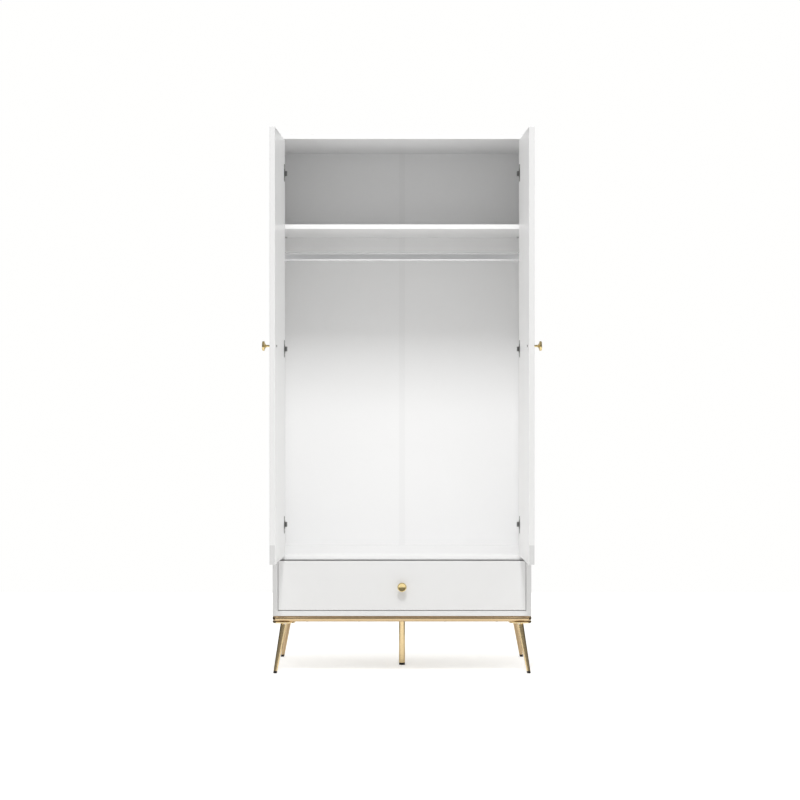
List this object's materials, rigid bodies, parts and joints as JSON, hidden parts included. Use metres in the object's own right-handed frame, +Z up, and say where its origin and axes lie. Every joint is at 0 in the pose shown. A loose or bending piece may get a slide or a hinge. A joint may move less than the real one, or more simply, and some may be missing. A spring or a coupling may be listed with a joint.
{
  "type": "wardrobe with doors",
  "caption": "Free-standing wardrobe with hinged doors over a drawer, a hat shelf and hanging rail inside, on a tube frame with splayed legs.",
  "frame": {"origin": "on the floor, at the centre of the middle leg's foot, which is the middle of the carcass's footprint", "axes": "+Z up, +X to the right as seen from the front, the doors and drawer face -Y"},
  "size_m": [0.9312, 0.9409, 1.875],
  "materials": {
    "white_lacquer": "white satin lacquer on fibreboard",
    "white_hardboard": "thin hardboard with a white printed face",
    "white_plastic": "white extruded strip",
    "drawer_foil": "chipboard wrapped in pale foil",
    "gold_tube": "polished gold-coloured plating on steel tube",
    "gold_knob": "polished gold-coloured cast knob",
    "black_plastic": "moulded black glide",
    "rail_chrome": "chromed steel",
    "hinge_nickel": "nickel-plated pressed steel",
    "dowel_beech": "bare beech",
    "runner_zinc": "zinc-plated steel channel",
    "cam_zinc": "die-cast zinc alloy",
    "screw_steel": "zinc-plated steel"
  },
  "bodies": {
    "carcass": {"back_joint_strip": "white_plastic", "back_left": "white_hardboard", "back_nails": "screw_steel", "back_right": "white_hardboard", "base_crossbar": "gold_tube", "base_rail_back": "gold_tube", "base_rail_front": "gold_tube", "base_rail_left": "gold_tube", "base_rail_right": "gold_tube", "bottom_board": "white_lacquer", "cam_bolts": "screw_steel", "carcass_cams": "cam_zinc", "carcass_dowels": "dowel_beech", "centre_foot": "black_plastic", "centre_leg": "gold_tube", "divider_panel": "white_lacquer", "flange_screws": "screw_steel", "frame_screws": "screw_steel", "hanging_rail": "rail_chrome", "hat_shelf": "white_lacquer", "hinge_arms": "hinge_nickel", "hinge_pins": "screw_steel", "hinge_plates": "hinge_nickel", "hinge_screws": "screw_steel", "leg_back_left": "gold_tube", "leg_back_right": "gold_tube", "leg_feet": "black_plastic", "leg_front_left": "gold_tube", "leg_front_right": "gold_tube", "rail_socket_left": "rail_chrome", "rail_socket_right": "rail_chrome", "rail_socket_screws": "screw_steel", "runner_cabinet_left": "runner_zinc", "runner_cabinet_right": "runner_zinc", "shelf_pins": "screw_steel", "side_left": "white_lacquer", "side_right": "white_lacquer", "top_panel": "white_lacquer"},
    "left_door": {"cup_screws_left": "screw_steel", "door_knob_left": "gold_knob", "door_knob_screw_left": "screw_steel", "door_left": "white_lacquer", "hinge_cups_left": "hinge_nickel"},
    "right_door": {"cup_screws_right": "screw_steel", "door_knob_right": "gold_knob", "door_knob_screw_right": "screw_steel", "door_right": "white_lacquer", "hinge_cups_right": "hinge_nickel"},
    "drawer": {"drawer_back": "drawer_foil", "drawer_bottom": "white_hardboard", "drawer_fixings": "screw_steel", "drawer_front": "white_lacquer", "drawer_knob": "gold_knob", "drawer_knob_screw": "screw_steel", "drawer_side_left": "drawer_foil", "drawer_side_right": "drawer_foil", "runner_drawer_left": "runner_zinc", "runner_drawer_right": "runner_zinc"},
    "left_runner_slide": {"runner_middle_left": "runner_zinc"},
    "right_runner_slide": {"runner_middle_right": "runner_zinc"}
  },
  "joints": [
    {"name": "left_door_hinge", "type": "hinge", "parent": "carcass", "child": "left_door", "pos_m": [-0.4183, -0.257, 1.129], "axis": [0, 0, -1], "range_deg": [-91.6, 18.4]},
    {"name": "right_door_hinge", "type": "hinge", "parent": "carcass", "child": "right_door", "pos_m": [0.4183, -0.257, 1.129], "axis": [0, 0, 1], "range_deg": [-91.6, 18.4]},
    {"name": "drawer_slide", "type": "slide", "parent": "carcass", "child": "drawer", "axis": [0, -1, 0], "range_m": [0, 0.4]},
    {"name": "left_runner_travel", "type": "slide", "parent": "carcass", "child": "left_runner_slide", "axis": [0, -1, 0], "range_m": [0, 0.2]},
    {"name": "right_runner_travel", "type": "slide", "parent": "carcass", "child": "right_runner_slide", "axis": [0, -1, 0], "range_m": [0, 0.2]}
  ],
  "couplings": [
    {"joint": "left_runner_travel", "follows": "drawer_slide", "ratio": 0.5},
    {"joint": "right_runner_travel", "follows": "drawer_slide", "ratio": 0.5}
  ]
}
